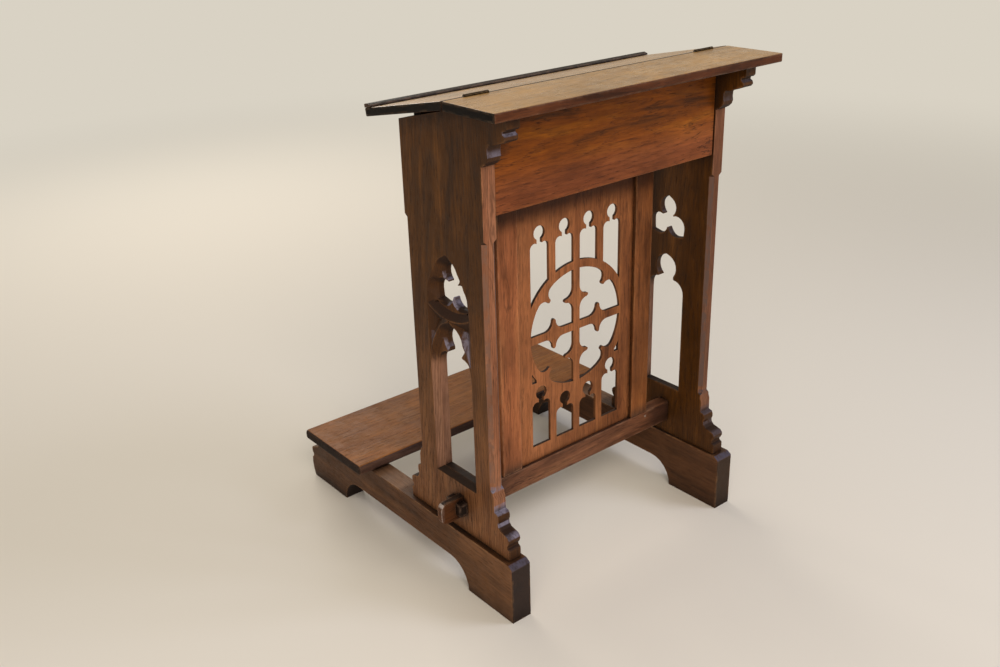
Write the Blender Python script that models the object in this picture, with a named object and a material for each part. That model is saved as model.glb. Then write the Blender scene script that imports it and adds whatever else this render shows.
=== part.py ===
"""Oak prayer lectern with a kneeler, a hinged desk lid and pierced Gothic side boards.

X runs across the width, -Y is the traceried front, +Y is the kneeler side, Z is up from the floor.
Every outline is drawn with its Y measured back from the front toe of the base rails.
"""
import math

import bmesh
import bpy

# Clearance left between any two touching pieces
FIT = 0.0003

# Base rails: sledge feet that run from front to back
RAIL_LENGTH = 0.633
RAIL_HEIGHT = 0.1106
RAIL_THICK = 0.039
FRONT_FOOT = 0.118
REAR_HEEL = 0.508
REAR_TOE = 0.626
FOOT_COVE = 0.0485
TOE_CHAMFER_RUN = 0.0085
TOE_CHAMFER_DROP = 0.0056
TAIL_RUN = 0.043

# Side boards: thick upright ends tenoned into the rails
CLEAR_SPAN = 0.477
BOARD_THICK = 0.0244
BOARD_INSET = 0.0095
BOARD_FRONT = 0.0544
BOARD_REAR = 0.2515
BOARD_REAR_TOP = 0.794
FRONT_SCROLL_OUT = 0.0379
REAR_SCROLL_OUT = 0.033
SCROLL_HEIGHT = 0.1054
CORBEL_OUT = 0.0574
CORBEL_HEIGHT = 0.0843
ARRIS_CHAMFER = 0.0065
ARRIS_LOW = 0.215
ARRIS_HIGH = 0.650
ARRIS_STOP = 0.010
BOARD_TENON_DEPTH = 0.022
BOARD_TENON_THICK = 0.012
BOARD_TENON_MARGIN = 0.030

# Pierced window in each side board: a spherical triangle over a cusped lancet
WINDOW_Y = 0.1505
WINDOW_HALF = 0.0535
WINDOW_SPLAY = 0.0115
WINDOW_SINK = 0.0095
WINDOW_OVERCUT = 0.0002
WINDOW_LAND = 0.0015
SPANDREL_DRAW = 0.015
SPANDREL_SINK = 0.0098
SPANDREL_STEPS = 4
FOIL_SINK = 0.014
FOIL_FLARE = 0.0112
FOIL_OVERRUN = 1.25
FOIL_TIP_SPREAD = 35
SILL_LOW = 0.201
SILL_RISE = 0.009
LANCET_SPRING = 0.398
LANCET_LOBE_LEVEL = 0.406
LANCET_LOBE_RADIUS = 0.0235
LANCET_NECK_HALF = 0.0175
LANCET_NECK_LOW = 0.431
LANCET_NECK_HIGH = 0.4355
LANCET_HEAD_LEVEL = 0.452
LANCET_HEAD_RADIUS = 0.0235
LANCET_HEAD_SPREAD = 20
LANCET_NECK_TURN = 4
TRIANGLE_BASE = 0.508
TREFOIL_TOP_RISE = 0.0281
TREFOIL_TOP_RADIUS = 0.0183
TREFOIL_TOP_SPREAD = 30
TREFOIL_SIDE_OUT = 0.020
TREFOIL_SIDE_DROP = 0.0059
TREFOIL_SIDE_RADIUS = 0.0194
TREFOIL_SIDE_TIP = 318
TREFOIL_CUSP_HALF = 0.0012
TREFOIL_CUSP_DROP = 0.0108
TREFOIL_HORN_OUT = 0.0118
TREFOIL_HORN_LOW = 0.0115
TREFOIL_HORN_HIGH = 0.0141

# Front stretcher with through tenons, each locked by a wedge
STRETCHER_FRONT = 0.1313
STRETCHER_THICK = 0.024
STRETCHER_LOW = 0.1395
STRETCHER_HIGH = 0.180
TENON_CHEEK = 0.002
TENON_THICK = 0.0115
TENON_OUT = 0.0461
TENON_ROUND = 0.013
WEDGE_LENGTH = 0.042
WEDGE_WIDE = 0.0165
WEDGE_NARROW = 0.0125
WEDGE_HEIGHT = 0.021

# Stiles and the pierced front panel
STILE_OUTER = 0.1765
STILE_INNER = 0.1345
STILE_THICK = 0.022
PANEL_SETBACK = 0.0065
PANEL_THICK = 0.0055
GROOVE_DEPTH = 0.005

# Tracery of the front panel
TRACERY_LEVEL = 0.4095
RING_OUTER = 0.1195
RING_INNER = 0.1045
BAR_HALF = 0.0075
LIGHT_WIDTH = 0.0402
LIGHT_GAP = 0.015
LIGHT_LOBE = 0.0095
LIGHT_NECK_HALF = 0.0055
LIGHT_HEAD = 0.012
LIGHT_HEAD_RISE = 0.026
UPPER_SHOULDER = 0.571
LOWER_SHOULDER_OUTER = 0.283
LOWER_SHOULDER_INNER = 0.254
LOWER_SILL = 0.208
SPANDREL_LOW = 0.3305
SPANDREL_IN = 0.093
FOIL_FILLET = 0.017
FOIL_LOW = 0.031
FOIL_HIGH = 0.072
CUSP_REACH = 0.0273
CUSP_LOW = 0.0503
CUSP_HIGH = 0.0533
RIM_LOBE_ACROSS = 0.0498
RIM_LOBE_UP = 0.0750
RIM_LOBE_RADIUS = 0.0140
RIM_CUSP_ACROSS = 0.0590
RIM_CUSP_UP = 0.0620
RIM_FLAT_PAST = 4
RIM_LOBE_BACK = 10
RIM_LOBE_END = -48

# Desk: front board, book well, fixed top and hinged lid
APRON_FRONT = 0.0565
APRON_THICK = 0.020
APRON_LOW = 0.6784
WELL_THICK = 0.012
WELL_BACK_FRONT = 0.228
WELL_BACK_THICK = 0.018
TOP_OVERHANG = 0.0381
TOP_FRONT = -0.0252
TOP_LEVEL = 0.8493
TOP_THICK = 0.014
HINGE_Y = 0.0887
HINGE_RISE = 0.0005
LID_GAP = 0.001
LID_REAR = 0.284
LID_SLOPE = math.radians(11.2)
LID_THICK = 0.013
STOP_WIDTH = 0.015
STOP_HEIGHT = 0.006
STOP_SETBACK = 0.0005
EDGE_ROUND = 0.0012

# Butt hinges, set on the joint between the fixed top and the lid
HINGE_INSET = 0.061
HINGE_LENGTH = 0.044
KNUCKLE_RADIUS = 0.0028
PIN_RADIUS = 0.0014
PIN_CLEARANCE = 0.0001
LEAF_THICK = 0.0013
LEAF_DROP = 0.0115
LEAF_INSET = 0.0002
KNUCKLE_GAP = 0.0003
KNUCKLES = 5

# Kneeler plank
KNEELER_OVERHANG = 0.030
KNEELER_FRONT = 0.399
KNEELER_REAR = 0.594
KNEELER_THICK = 0.020
KNEELER_ROUND = 0.006

# Sizes that follow from the ones above
BOARD_INNER = CLEAR_SPAN / 2
BOARD_OUTER = BOARD_INNER + BOARD_THICK
RAIL_OUTER = BOARD_OUTER + BOARD_INSET
RAIL_INNER = RAIL_OUTER - RAIL_THICK
TENON_REACH = BOARD_OUTER + TENON_OUT
TOP_HALF = BOARD_OUTER + TOP_OVERHANG
HINGE_X = TOP_HALF - HINGE_INSET
KNEELER_HALF = RAIL_OUTER + KNEELER_OVERHANG
CENTRE_Y = (TOP_FRONT + RAIL_LENGTH) / 2
TOP_UNDER = TOP_LEVEL - TOP_THICK
FIXED_EDGE = HINGE_Y - LID_GAP / 2
LID_EDGE = HINGE_Y + LID_GAP / 2
HINGE_Z = TOP_LEVEL + HINGE_RISE
PANEL_FRONT = STRETCHER_FRONT + PANEL_SETBACK
WELL_TOP = APRON_LOW + WELL_THICK
WINDOW_RADIUS = 2 * WINDOW_HALF
TRIANGLE_RISE = WINDOW_RADIUS * math.sin(math.radians(60))
TRIANGLE_CENTRE = TRIANGLE_BASE + TRIANGLE_RISE / 3
PAST = 0.01

# Steps along a quarter turn, and sides of a turned piece
ARC_STEPS = 6
ROUND_SIDES = 24


def clear_scene():
    for item in list(bpy.data.objects):
        bpy.data.objects.remove(item, do_unlink=True)


def make_material(name, colour, roughness, metallic=0.0):
    material = bpy.data.materials.new(name)
    material.use_nodes = True
    shader = material.node_tree.nodes["Principled BSDF"]
    shader.inputs["Base Color"].default_value = (*colour, 1.0)
    shader.inputs["Roughness"].default_value = roughness
    shader.inputs["Metallic"].default_value = metallic
    material.diffuse_color = (*colour, 1.0)
    return material


def rail_oak():
    return make_material("rail_oak", (0.075, 0.033, 0.014), 0.48)


def board_oak():
    return make_material("board_oak", (0.085, 0.032, 0.013), 0.45)


def apron_oak():
    return make_material("apron_oak", (0.22, 0.068, 0.018), 0.38)


def panel_oak():
    return make_material("panel_oak", (0.19, 0.062, 0.022), 0.42)


def top_oak():
    return make_material("top_oak", (0.24, 0.105, 0.042), 0.32)


def kneeler_oak():
    return make_material("kneeler_oak", (0.22, 0.115, 0.052), 0.50)


def wedge_oak():
    return make_material("wedge_oak", (0.045, 0.022, 0.013), 0.50)


def hinge_brass():
    return make_material("hinge_brass", (0.17, 0.115, 0.05), 0.42, 1.0)


def pin_steel():
    return make_material("pin_steel", (0.22, 0.21, 0.20), 0.40, 1.0)


def arc(centre, radius, start, end, steps=ARC_STEPS):
    """Points of an arc, its angles in degrees, both ends included."""
    points = []
    for index in range(steps + 1):
        angle = math.radians(start + (end - start) * index / steps)
        across = centre[0] + radius * math.cos(angle)
        points.append((across, centre[1] + radius * math.sin(angle)))
    return points


def bearing(centre, point):
    """Direction from a centre to a point, in degrees."""
    return math.degrees(math.atan2(point[1] - centre[1], point[0] - centre[0]))


def pointed_arc(centre, radius, start, end, tip, spread, steps=ARC_STEPS):
    """An arc whose middle is drawn out to a point at the angle tip, spread degrees to either side."""
    turn = spread if end > start else -spread
    reach = radius / math.cos(math.radians(spread))
    angle = math.radians(tip)
    point = (centre[0] + reach * math.cos(angle), centre[1] + reach * math.sin(angle))
    before = arc(centre, radius, start, tip - turn, steps)
    after = arc(centre, radius, tip + turn, end, steps)
    return before + [point] + after


def mirrored(points):
    """The same points with the first value turned over, in reverse order."""
    return [(-across, up) for across, up in reversed(points)]


def add_object(name, mesh, material=None, parent=None):
    item = bpy.data.objects.new(name, mesh)
    bpy.context.scene.collection.objects.link(item)
    if material:
        mesh.materials.append(material)
    if parent:
        item.parent = parent
    else:
        item.location = (0, -CENTRE_Y, 0)
    return item


def loft_mesh(name, rings):
    """A closed mesh through rings of equal length, capped at both ends."""
    work = bmesh.new()
    made = [[work.verts.new(point) for point in ring] for ring in rings]
    count = len(made[0])
    for lower, upper in zip(made, made[1:]):
        for index in range(count):
            after = (index + 1) % count
            work.faces.new((lower[index], lower[after], upper[after], upper[index]))
    work.faces.new(list(reversed(made[0])))
    work.faces.new(made[-1])
    bmesh.ops.recalc_face_normals(work, faces=work.faces)
    mesh = bpy.data.meshes.new(name)
    work.to_mesh(mesh)
    work.free()
    return mesh


def along_x(outline, station):
    return [(station, y, z) for y, z in outline]


def along_y(outline, station):
    return [(x, station, z) for x, z in outline]


def along_z(outline, station):
    return [(x, y, station) for x, y in outline]


def prism(name, outline, placed, start, end, material=None, parent=None):
    rings = [placed(outline, start), placed(outline, end)]
    return add_object(name, loft_mesh(name, rings), material, parent)


def box(name, low, high, material=None, parent=None):
    outline = [(low[0], low[1]), (high[0], low[1]), (high[0], high[1]), (low[0], high[1])]
    return prism(name, outline, along_z, low[2], high[2], material, parent)


def joined(name, meshes, parent=None):
    """One helper object that holds several separate closed meshes."""
    work = bmesh.new()
    for mesh in meshes:
        work.from_mesh(mesh)
        bpy.data.meshes.remove(mesh)
    mesh = bpy.data.meshes.new(name)
    work.to_mesh(mesh)
    work.free()
    return add_object(name, mesh, parent=parent)


def boolean(item, tool, operation="DIFFERENCE"):
    step = item.modifiers.new(tool.name, "BOOLEAN")
    step.operation = operation
    step.solver = "EXACT"
    step.object = tool
    tool.hide_render = True
    tool.display_type = "WIRE"


def soften(item, width, segments=1):
    step = item.modifiers.new("soften", "BEVEL")
    step.width = width
    step.segments = segments
    step.limit_method = "ANGLE"


# Base rails


def tail_outline():
    """The moulded rear end, from the top of the rail down to the floor, as shares of its run and height."""
    shares = (
        (0.00, 1.000),
        (0.05, 0.945),
        (0.14, 0.890),
        (0.25, 0.800),
        (0.30, 0.720),
        (0.43, 0.668),
        (0.87, 0.605),
        (0.93, 0.570),
        (0.93, 0.510),
        (0.84, 0.448),
        (0.86, 0.415),
        (0.97, 0.375),
        (1.00, 0.270),
        (0.96, 0.130),
        (0.84, 0.000),
    )
    start = RAIL_LENGTH - TAIL_RUN
    return [(start + TAIL_RUN * run, RAIL_HEIGHT * rise) for run, rise in shares]


def rail_outline():
    front_cove = arc((FRONT_FOOT + FOOT_COVE, 0), FOOT_COVE, 180, 90)
    rear_cove = arc((REAR_HEEL - FOOT_COVE, 0), FOOT_COVE, 90, 0)
    under = list(reversed(front_cove + rear_cove))
    nose = [(0, 0), (0, RAIL_HEIGHT - TOE_CHAMFER_DROP), (TOE_CHAMFER_RUN, RAIL_HEIGHT)]
    return nose + tail_outline() + under


def tenon_span():
    front = BOARD_FRONT - FRONT_SCROLL_OUT + BOARD_TENON_MARGIN
    rear = BOARD_REAR + REAR_SCROLL_OUT - BOARD_TENON_MARGIN
    return front, rear


def build_rail(name, side, material):
    rail = prism(name, rail_outline(), along_x, side * RAIL_INNER, side * RAIL_OUTER, material)
    front, rear = tenon_span()
    middle = side * (BOARD_INNER + BOARD_OUTER) / 2
    half = BOARD_TENON_THICK / 2 + FIT
    low = (middle - half, front - FIT, RAIL_HEIGHT - BOARD_TENON_DEPTH - FIT)
    high = (middle + half, rear + FIT, RAIL_HEIGHT + PAST)
    boolean(rail, box(name + "_mortise", low, high))
    return rail


# Side boards


def scroll_shares():
    """The stepped foot of a board, from its top down, as shares of its projection and height."""
    return (
        (0.00, 1.000),
        (0.07, 0.930),
        (0.08, 0.720),
        (0.28, 0.700),
        (0.33, 0.655),
        (0.34, 0.600),
        (0.28, 0.545),
        (0.31, 0.490),
        (0.43, 0.445),
        (0.64, 0.430),
        (0.87, 0.410),
        (0.98, 0.370),
        (0.99, 0.320),
        (0.93, 0.270),
        (0.85, 0.235),
        (0.86, 0.200),
        (0.96, 0.185),
        (1.00, 0.165),
        (1.00, 0.000),
    )


def corbel_shares():
    """The stepped bracket under the fixed top, from its top down."""
    return (
        (1.00, 1.000),
        (1.00, 0.800),
        (0.95, 0.765),
        (0.85, 0.745),
        (0.84, 0.705),
        (0.92, 0.670),
        (0.94, 0.615),
        (0.88, 0.570),
        (0.74, 0.540),
        (0.60, 0.505),
        (0.46, 0.470),
        (0.30, 0.455),
        (0.26, 0.405),
        (0.25, 0.320),
        (0.27, 0.240),
        (0.23, 0.165),
        (0.13, 0.105),
        (0.00, 0.060),
    )


def board_outline():
    foot = RAIL_HEIGHT + FIT
    top = TOP_UNDER - FIT
    outline = []
    for out, rise in reversed(scroll_shares()):
        outline.append((BOARD_FRONT - FRONT_SCROLL_OUT * out, foot + SCROLL_HEIGHT * rise))
    for out, rise in reversed(corbel_shares()):
        outline.append((BOARD_FRONT - CORBEL_OUT * out, top - CORBEL_HEIGHT * (1 - rise)))
    outline.append((LID_EDGE, top))
    outline.append((BOARD_REAR, BOARD_REAR_TOP))
    for out, rise in scroll_shares():
        outline.append((BOARD_REAR + REAR_SCROLL_OUT * out, foot + SCROLL_HEIGHT * rise))
    return outline


def lancet_pocket(inset):
    """Plain pointed opening, drawn in by inset, about the window's centre line."""
    half = WINDOW_HALF - inset
    sill = SILL_LOW + SILL_RISE * inset / WINDOW_SPLAY
    radius = WINDOW_RADIUS - inset
    apex = math.degrees(math.acos(WINDOW_HALF / radius))
    right = [(half, sill)] + arc((-WINDOW_HALF, LANCET_SPRING), radius, 0, apex)
    return right + mirrored(right)[1:]


def triangle_pocket(inset):
    """Spherical triangle drawn in by inset: three arcs, each centred on the far corner."""
    radius = WINDOW_RADIUS - inset
    hub_reach = TRIANGLE_RISE * 2 / 3
    reach = math.sqrt(radius ** 2 - WINDOW_HALF ** 2) - TRIANGLE_RISE / 3
    sweep = math.degrees(math.asin(reach * math.sin(math.radians(60)) / radius))
    points = []
    for middle in (30, -90, 150):
        opposite = math.radians(middle + 180)
        hub = (hub_reach * math.cos(opposite), TRIANGLE_CENTRE + hub_reach * math.sin(opposite))
        points += arc(hub, radius, middle + sweep, middle - sweep)[:-1]
    return points


def spandrel_hollow(inset):
    """The rear hollow between jamb, lancet and triangle, drawn in by inset."""
    radius = WINDOW_RADIUS + WINDOW_LAND + inset
    half = WINDOW_HALF - inset
    lancet = (-WINDOW_HALF, LANCET_SPRING)
    triangle = (0, TRIANGLE_BASE + TRIANGLE_RISE)
    low = lancet[1] + math.sqrt(radius ** 2 - (half + WINDOW_HALF) ** 2)
    high = triangle[1] - math.sqrt(radius ** 2 - half ** 2)
    over = triangle[0] - lancet[0]
    up = triangle[1] - lancet[1]
    apart = math.hypot(over, up)
    away = math.sqrt(radius ** 2 - apart ** 2 / 4)
    meeting = (lancet[0] + over / 2 + away * up / apart, lancet[1] + up / 2 - away * over / apart)
    under = arc(lancet, radius, bearing(lancet, (half, low)), bearing(lancet, meeting))
    above = arc(triangle, radius, bearing(triangle, meeting), bearing(triangle, (half, high)))
    return under + above[1:]


def front_hollow(inset):
    return mirrored(spandrel_hollow(inset))


def lancet_outline():
    """Cusped lancet that goes right through the board."""
    half = WINDOW_HALF - WINDOW_SPLAY + WINDOW_OVERCUT
    sill = SILL_LOW + SILL_RISE
    lobe = (half - LANCET_LOBE_RADIUS, LANCET_LOBE_LEVEL)
    head = (0, LANCET_HEAD_LEVEL)
    start = -math.degrees(math.acos(LANCET_NECK_HALF / LANCET_HEAD_RADIUS))
    right = [(half, sill)]
    right += arc(lobe, LANCET_LOBE_RADIUS, 0, 90)
    right += [(LANCET_NECK_HALF, LANCET_NECK_LOW), (LANCET_NECK_HALF, LANCET_NECK_HIGH)]
    spread = LANCET_HEAD_SPREAD
    right += arc(head, LANCET_HEAD_RADIUS, start + LANCET_NECK_TURN, 90 - spread)
    tip = LANCET_HEAD_RADIUS / math.cos(math.radians(spread))
    return right + [(0, LANCET_HEAD_LEVEL + tip)] + mirrored(right)


def trefoil_lobe():
    return TREFOIL_SIDE_OUT, TRIANGLE_CENTRE - TREFOIL_SIDE_DROP


def trefoil_top():
    return 0, TRIANGLE_CENTRE + TREFOIL_TOP_RISE


def trefoil_outline():
    """Three pointed lobes that go right through the board, from the lower cusp round to the top."""
    lobe = trefoil_lobe()
    top = trefoil_top()
    start = bearing(lobe, (TREFOIL_CUSP_HALF, TRIANGLE_CENTRE - TREFOIL_CUSP_DROP)) % 360
    end = bearing(lobe, (TREFOIL_HORN_OUT, TRIANGLE_CENTRE + TREFOIL_HORN_LOW)) + 360
    right = pointed_arc(lobe, TREFOIL_SIDE_RADIUS, start, end, TREFOIL_SIDE_TIP, FOIL_TIP_SPREAD)
    horn = bearing(top, (TREFOIL_HORN_OUT, TRIANGLE_CENTRE + TREFOIL_HORN_HIGH))
    right += arc(top, TREFOIL_TOP_RADIUS, horn, 90 - TREFOIL_TOP_SPREAD)
    tip = TREFOIL_TOP_RADIUS / math.cos(math.radians(TREFOIL_TOP_SPREAD))
    return right + [(0, top[1] + tip)] + mirrored(right)


def in_window(outline):
    return [(WINDOW_Y + across, up) for across, up in outline]


def pocket_mesh(name, side, outline_at, levels):
    """A sinking in the outer face of a board, through outlines drawn in by each inset at its depth."""
    rings = []
    for inset, depth in levels:
        rings.append(along_x(in_window(outline_at(inset)), side * (BOARD_OUTER - depth)))
    return loft_mesh(name, rings)


def splay_levels():
    return (-WINDOW_SPLAY / 2, -WINDOW_SINK / 2), (WINDOW_SPLAY, WINDOW_SINK)


def spandrel_levels():
    levels = [(0, -PAST)]
    for index in range(SPANDREL_STEPS + 1):
        share = index / SPANDREL_STEPS
        levels.append((SPANDREL_DRAW * share, SPANDREL_SINK * share))
    return levels


def foil_mesh(name, side, centre, radius, tip, spread):
    """The flare that opens one pointed foil out towards the face, run on past both ends of its slope."""
    rings = []
    for share in (1 - FOIL_OVERRUN, FOIL_OVERRUN):
        grown = radius + FOIL_FLARE * (1 - share)
        outline = pointed_arc(centre, grown, tip - 180, tip + 180, tip, spread, 2 * ARC_STEPS)[1:]
        rings.append(along_x(in_window(outline), side * (BOARD_OUTER - FOIL_SINK * share)))
    return loft_mesh(name, rings)


def window_foils():
    """Centre, radius, direction and spread of the point of every flared foil."""
    lobe = trefoil_lobe()
    head = (0, LANCET_HEAD_LEVEL)
    return (
        (trefoil_top(), TREFOIL_TOP_RADIUS, 90, TREFOIL_TOP_SPREAD),
        (lobe, TREFOIL_SIDE_RADIUS, TREFOIL_SIDE_TIP, FOIL_TIP_SPREAD),
        ((-lobe[0], lobe[1]), TREFOIL_SIDE_RADIUS, 180 - TREFOIL_SIDE_TIP, FOIL_TIP_SPREAD),
        (head, LANCET_HEAD_RADIUS, 90, LANCET_HEAD_SPREAD),
    )


def through_mesh(name, side, outline):
    rings = []
    for station in (BOARD_INNER - PAST, BOARD_OUTER + PAST):
        rings.append(along_x(in_window(outline), side * station))
    return loft_mesh(name, rings)


def arris_mesh(name, x, y, inward_x, inward_y):
    """A long chamfer along one upright arris, run out to nothing at both ends."""
    reach = ARRIS_CHAMFER
    over = ARRIS_CHAMFER / 2
    corners = (
        (x + inward_x * reach + inward_x * over, y - inward_y * over),
        (x - inward_x * over, y + inward_y * reach + inward_y * over),
        (x - inward_x * over, y - inward_y * over),
    )
    work = bmesh.new()
    outer = (x - inward_x * over, y - inward_y * over)
    tips = [work.verts.new((outer[0], outer[1], z)) for z in (ARRIS_LOW, ARRIS_HIGH)]
    rings = []
    for z in (ARRIS_LOW + ARRIS_STOP, ARRIS_HIGH - ARRIS_STOP):
        rings.append([work.verts.new((corner[0], corner[1], z)) for corner in corners])
    for index in range(3):
        after = (index + 1) % 3
        work.faces.new((rings[0][index], rings[0][after], rings[1][after], rings[1][index]))
        work.faces.new((tips[0], rings[0][after], rings[0][index]))
        work.faces.new((tips[1], rings[1][index], rings[1][after]))
    bmesh.ops.recalc_face_normals(work, faces=work.faces)
    mesh = bpy.data.meshes.new(name)
    work.to_mesh(mesh)
    work.free()
    return mesh


def board_arrises(name, side):
    """The four chamfered upright arrises of one board."""
    meshes = []
    for x, inward_x in ((BOARD_OUTER, -1), (BOARD_INNER, 1)):
        for y, inward_y in ((BOARD_FRONT, 1), (BOARD_REAR, -1)):
            meshes.append(arris_mesh(name, side * x, y, side * inward_x, inward_y))
    return joined(name, meshes)


def build_board(name, side, material):
    board = prism(name, board_outline(), along_x, side * BOARD_INNER, side * BOARD_OUTER, material)
    front, rear = tenon_span()
    middle = side * (BOARD_INNER + BOARD_OUTER) / 2
    half = BOARD_TENON_THICK / 2
    low = (middle - half, front, RAIL_HEIGHT - BOARD_TENON_DEPTH)
    high = (middle + half, rear, RAIL_HEIGHT + PAST)
    boolean(board, box(name + "_tenon", low, high), "UNION")
    pockets = [pocket_mesh(name, side, shape, splay_levels()) for shape in (lancet_pocket, triangle_pocket)]
    boolean(board, joined(name + "_sinking", pockets))
    for word, shape in (("front", front_hollow), ("rear", spandrel_hollow)):
        hollow = pocket_mesh(name, side, shape, spandrel_levels())
        boolean(board, add_object(name + "_spandrel_" + word, hollow))
    holes = [through_mesh(name, side, shape()) for shape in (lancet_outline, trefoil_outline)]
    boolean(board, joined(name + "_piercing", holes))
    for index, foil in enumerate(window_foils()):
        flare = foil_mesh(name, side, *foil)
        boolean(board, add_object(name + "_foil_" + str(index), flare))
    boolean(board, board_arrises(name + "_chamfer", side))
    front = STRETCHER_FRONT + TENON_CHEEK
    low = (BOARD_INNER - PAST, front - FIT, STRETCHER_LOW - FIT)
    high = (BOARD_OUTER + PAST, front + TENON_THICK + FIT, STRETCHER_HIGH + FIT)
    ends = sorted((side * low[0], side * high[0]))
    boolean(board, box(name + "_mortise", (ends[0], *low[1:]), (ends[1], *high[1:])))
    return board


# Stretcher and its wedges


def stretcher_outline():
    """The rail seen from the front, its two tenon ends rounded."""
    reach = TENON_REACH - TENON_ROUND
    right = arc((reach, STRETCHER_LOW + TENON_ROUND), TENON_ROUND, -90, 0)
    right += arc((reach, STRETCHER_HIGH - TENON_ROUND), TENON_ROUND, 0, 90)
    return right + mirrored(right)


def wedge_outline(side, grow):
    """The wedge from above: straight against the board, tapered on its outer side."""
    near = BOARD_OUTER + FIT - grow
    front = STRETCHER_FRONT + STRETCHER_THICK / 2 - WEDGE_LENGTH / 2 - grow
    rear = front + WEDGE_LENGTH + 2 * grow
    wide = near + WEDGE_WIDE + 2 * grow
    narrow = near + WEDGE_NARROW + 2 * grow
    corners = (near, front), (wide, front), (narrow, rear), (near, rear)
    return [(side * x, y) for x, y in corners]


def wedge_levels(grow):
    middle = (STRETCHER_LOW + STRETCHER_HIGH) / 2
    return middle - WEDGE_HEIGHT / 2 - grow, middle + WEDGE_HEIGHT / 2 + grow


def build_stretcher(material):
    rear = STRETCHER_FRONT + STRETCHER_THICK
    bar = prism("stretcher", stretcher_outline(), along_y, STRETCHER_FRONT, rear, material)
    cheeks = []
    for side in (-1, 1):
        ends = sorted((side * (BOARD_INNER - FIT), side * (TENON_REACH + PAST)))
        for near, far in ((-PAST, TENON_CHEEK), (TENON_CHEEK + TENON_THICK, STRETCHER_THICK + PAST)):
            outline = [(ends[0], STRETCHER_FRONT + near), (ends[1], STRETCHER_FRONT + near)]
            outline += [(ends[1], STRETCHER_FRONT + far), (ends[0], STRETCHER_FRONT + far)]
            rings = [along_z(outline, STRETCHER_LOW - PAST), along_z(outline, STRETCHER_HIGH + PAST)]
            cheeks.append(loft_mesh("cheek", rings))
    boolean(bar, joined("stretcher_cheeks", cheeks))
    slots = []
    for side in (-1, 1):
        rings = [along_z(wedge_outline(side, FIT), level) for level in wedge_levels(FIT)]
        slots.append(loft_mesh("slot", rings))
    boolean(bar, joined("stretcher_slots", slots))
    low = (-STILE_INNER - GROOVE_DEPTH - FIT, PANEL_FRONT - FIT, STRETCHER_HIGH - GROOVE_DEPTH - FIT)
    high = (STILE_INNER + GROOVE_DEPTH + FIT, PANEL_FRONT + PANEL_THICK + FIT, STRETCHER_HIGH + PAST)
    boolean(bar, box("stretcher_groove", low, high))
    return bar


def build_wedge(name, side, material):
    low, high = wedge_levels(0)
    return prism(name, wedge_outline(side, 0), along_z, low, high, material)


# Stiles and tracery panel


def stile_outline(side):
    front = STRETCHER_FRONT
    rear = front + STILE_THICK
    deep = STILE_INNER + GROOVE_DEPTH + FIT
    groove_front = PANEL_FRONT - FIT
    groove_rear = PANEL_FRONT + PANEL_THICK + FIT
    points = [(STILE_INNER, front), (STILE_OUTER, front), (STILE_OUTER, rear), (STILE_INNER, rear)]
    points += [(STILE_INNER, groove_rear), (deep, groove_rear), (deep, groove_front)]
    points += [(STILE_INNER, groove_front)]
    return [(side * x, y) for x, y in points]


def build_stile(name, side, material):
    low = STRETCHER_HIGH + FIT
    high = APRON_LOW - FIT
    return prism(name, stile_outline(side), along_z, low, high, material)


def light_head(middle, shoulder):
    """Trefoiled head of a light, from its right-hand shoulder round to its left-hand one."""
    half = LIGHT_WIDTH / 2
    lobe_x = half - LIGHT_LOBE
    turn = math.degrees(math.acos((LIGHT_NECK_HALF - lobe_x) / LIGHT_LOBE))
    start = -math.degrees(math.acos(LIGHT_NECK_HALF / LIGHT_HEAD))
    right = arc((lobe_x, shoulder), LIGHT_LOBE, 0, turn, ARC_STEPS - 1)
    right += arc((0, shoulder + LIGHT_HEAD_RISE), LIGHT_HEAD, start, 90, ARC_STEPS + 1)
    return [(middle + x, z) for x, z in right + mirrored(right)[1:]]


def ring_points(start_x, end_x, radius, side):
    """Points on the ring between two stations across the panel, above it for side 1 and below for -1."""
    points = []
    for index in range(ARC_STEPS):
        x = start_x + (end_x - start_x) * index / (ARC_STEPS - 1)
        points.append((x, TRACERY_LEVEL + side * math.sqrt(radius ** 2 - x ** 2)))
    return points


def light_middles():
    inner = BAR_HALF + LIGHT_WIDTH / 2
    outer = inner + LIGHT_WIDTH + LIGHT_GAP
    return inner, outer


def upper_light(middle):
    half = LIGHT_WIDTH / 2
    foot = ring_points(middle - half, middle + half, RING_OUTER, 1)
    return foot + light_head(middle, UPPER_SHOULDER)


def lower_light(middle, shoulder):
    half = LIGHT_WIDTH / 2
    return [(middle - half, LOWER_SILL), (middle + half, LOWER_SILL)] + light_head(middle, shoulder)


def spandrel():
    """The small three-cornered piercing between ring, margin and outer light."""
    edge = light_middles()[1] + LIGHT_WIDTH / 2
    curve = ring_points(SPANDREL_IN, edge, RING_OUTER, -1)
    return curve + [(edge, SPANDREL_LOW), (SPANDREL_IN, SPANDREL_LOW)]


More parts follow.
